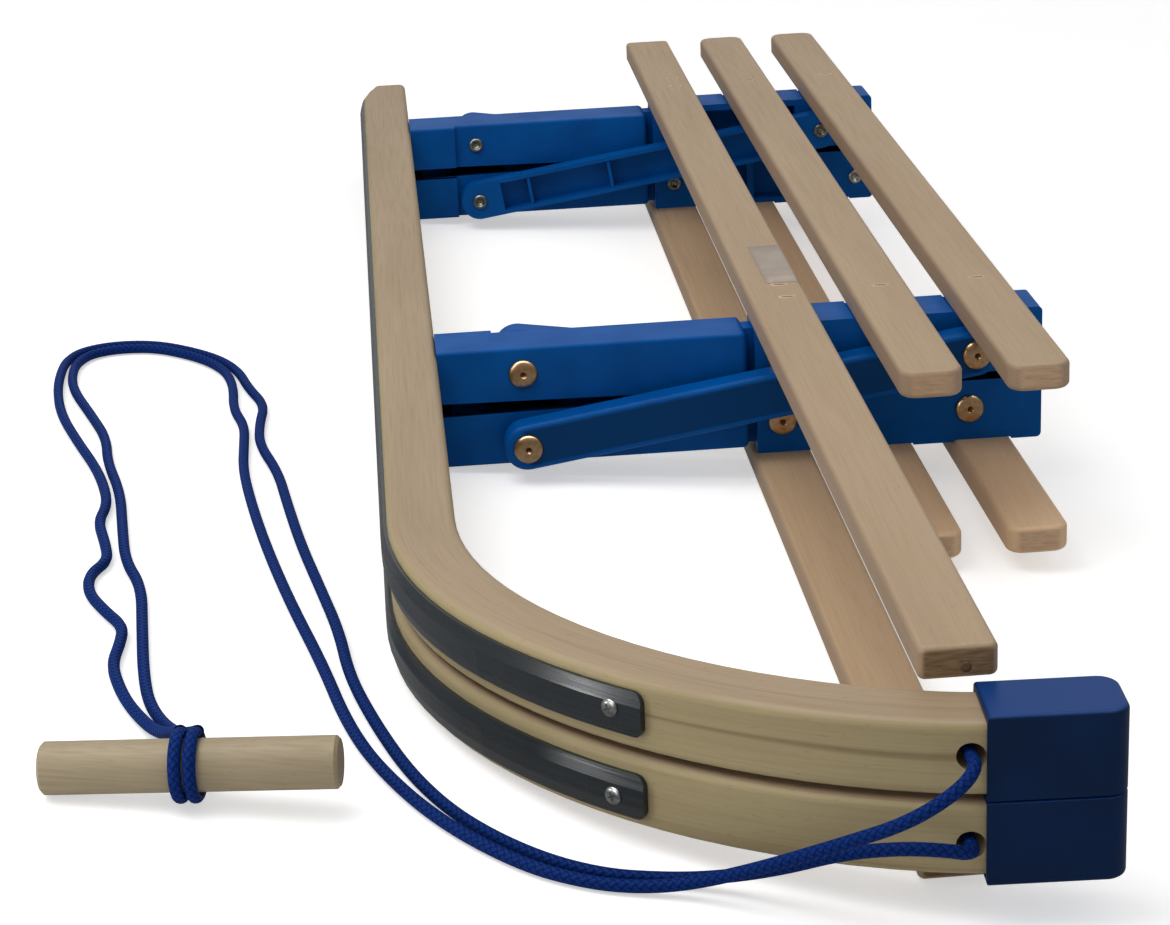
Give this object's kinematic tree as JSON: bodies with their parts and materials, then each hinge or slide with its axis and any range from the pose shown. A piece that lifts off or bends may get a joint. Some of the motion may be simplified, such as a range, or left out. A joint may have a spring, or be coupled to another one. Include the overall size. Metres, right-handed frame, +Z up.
{
  "type": "wooden sled",
  "caption": "Folding wooden sled folded flat on its side, with bent runners, slatted seat halves, cross-members that fold, and a pull rope with a dowel handle.",
  "frame": {"origin": "centre of the folded sled's footprint box, on the floor, the pull rope and its handle not counted", "axes": "+Y from the horns to the rear along the runners, +X from the gliding edges to the seat, +Z up"},
  "size_m": [0.5042, 1.1062, 0.1028],
  "materials": {
    "beech": "satin",
    "blue_plastic": "gloss",
    "black_plastic": "satin",
    "plated_steel": "satin",
    "rope": "matte"
  },
  "bodies": {
    "lower_runner_half": {"lower_runner": "beech", "lower_glide_strip": "black_plastic", "lower_horn_cap": "blue_plastic", "lower_rope_knot": "rope", "front_lower_leg": "blue_plastic", "rear_lower_leg": "blue_plastic", "front_lower_leg_rivet": "plated_steel", "rear_lower_leg_rivet": "plated_steel", "upper_rope_strand": "rope", "lower_rope_strand": "rope", "rope_hitch": "rope", "pull_handle": "beech"},
    "lower_seat_half": {"front_lower_bracket": "blue_plastic", "rear_lower_bracket": "blue_plastic", "lower_inner_slat": "beech", "lower_middle_slat": "beech", "lower_outer_slat": "beech", "front_lower_pivot_rivet": "plated_steel", "rear_lower_pivot_rivet": "plated_steel", "front_lower_bracket_rivet": "plated_steel", "rear_lower_bracket_rivet": "plated_steel", "front_hinge_pin": "plated_steel", "rear_hinge_pin": "plated_steel"},
    "upper_seat_half": {"front_upper_bracket": "blue_plastic", "rear_upper_bracket": "blue_plastic", "upper_inner_slat": "beech", "upper_middle_slat": "beech", "upper_outer_slat": "beech", "front_upper_pivot_rivet": "plated_steel", "rear_upper_pivot_rivet": "plated_steel", "front_upper_bracket_rivet": "plated_steel", "rear_upper_bracket_rivet": "plated_steel"},
    "upper_runner_half": {"upper_runner": "beech", "upper_glide_strip": "black_plastic", "upper_horn_cap": "blue_plastic", "upper_rope_knot": "rope", "front_upper_leg": "blue_plastic", "rear_upper_leg": "blue_plastic", "front_upper_leg_rivet": "plated_steel", "rear_upper_leg_rivet": "plated_steel"},
    "front_lower_strut_body": {"front_lower_strut": "blue_plastic", "front_lower_strut_rivet": "plated_steel"},
    "front_upper_strut_body": {"front_upper_strut": "blue_plastic", "front_upper_strut_rivet": "plated_steel"},
    "rear_lower_strut_body": {"rear_lower_strut": "blue_plastic", "rear_lower_strut_rivet": "plated_steel"},
    "rear_upper_strut_body": {"rear_upper_strut": "blue_plastic", "rear_upper_strut_rivet": "plated_steel"}
  },
  "joints": [
    {"name": "fold", "type": "hinge", "parent": "lower_runner_half", "child": "lower_seat_half", "pos_m": [0.03365, -0.07028, 0.03036], "axis": [0, -1, 0], "range_deg": [0, 82.38]},
    {"name": "seat_hinge", "type": "hinge", "parent": "lower_seat_half", "child": "upper_seat_half", "pos_m": [0.16264, -0.07028, 0.05858], "axis": [0, 1, 0], "range_deg": [0, 180]},
    {"name": "upper_leg_pivot", "type": "hinge", "parent": "upper_seat_half", "child": "upper_runner_half", "pos_m": [0.03069, -0.07028, 0.06343], "axis": [0, -1, 0], "range_deg": [0, 82.4]},
    {"name": "front_lower_strut_pivot", "type": "hinge", "parent": "lower_runner_half", "child": "front_lower_strut_body", "pos_m": [-0.09335, -0.07028, 0.01899], "axis": [0, -1, 0], "range_deg": [0, 39.5]},
    {"name": "front_upper_strut_pivot", "type": "hinge", "parent": "upper_runner_half", "child": "front_upper_strut_body", "pos_m": [-0.09631, -0.07028, 0.05206], "axis": [0, 1, 0], "range_deg": [0, 39.5]},
    {"name": "rear_lower_strut_pivot", "type": "hinge", "parent": "lower_runner_half", "child": "rear_lower_strut_body", "pos_m": [-0.09335, 0.40772, 0.01899], "axis": [0, -1, 0], "range_deg": [0, 39.5]},
    {"name": "rear_upper_strut_pivot", "type": "hinge", "parent": "upper_runner_half", "child": "rear_upper_strut_body", "pos_m": [-0.09631, 0.40772, 0.05206], "axis": [0, 1, 0], "range_deg": [0, 39.5]}
  ],
  "couplings": [
    {"joint": "seat_hinge", "follows": "fold", "ratio": 2.1845},
    {"joint": "upper_leg_pivot", "follows": "fold", "ratio": 1},
    {"joint": "front_lower_strut_pivot", "follows": "fold", "ratio": 0.4794},
    {"joint": "front_upper_strut_pivot", "follows": "fold", "ratio": 0.4794},
    {"joint": "rear_lower_strut_pivot", "follows": "fold", "ratio": 0.4794},
    {"joint": "rear_upper_strut_pivot", "follows": "fold", "ratio": 0.4794}
  ]
}
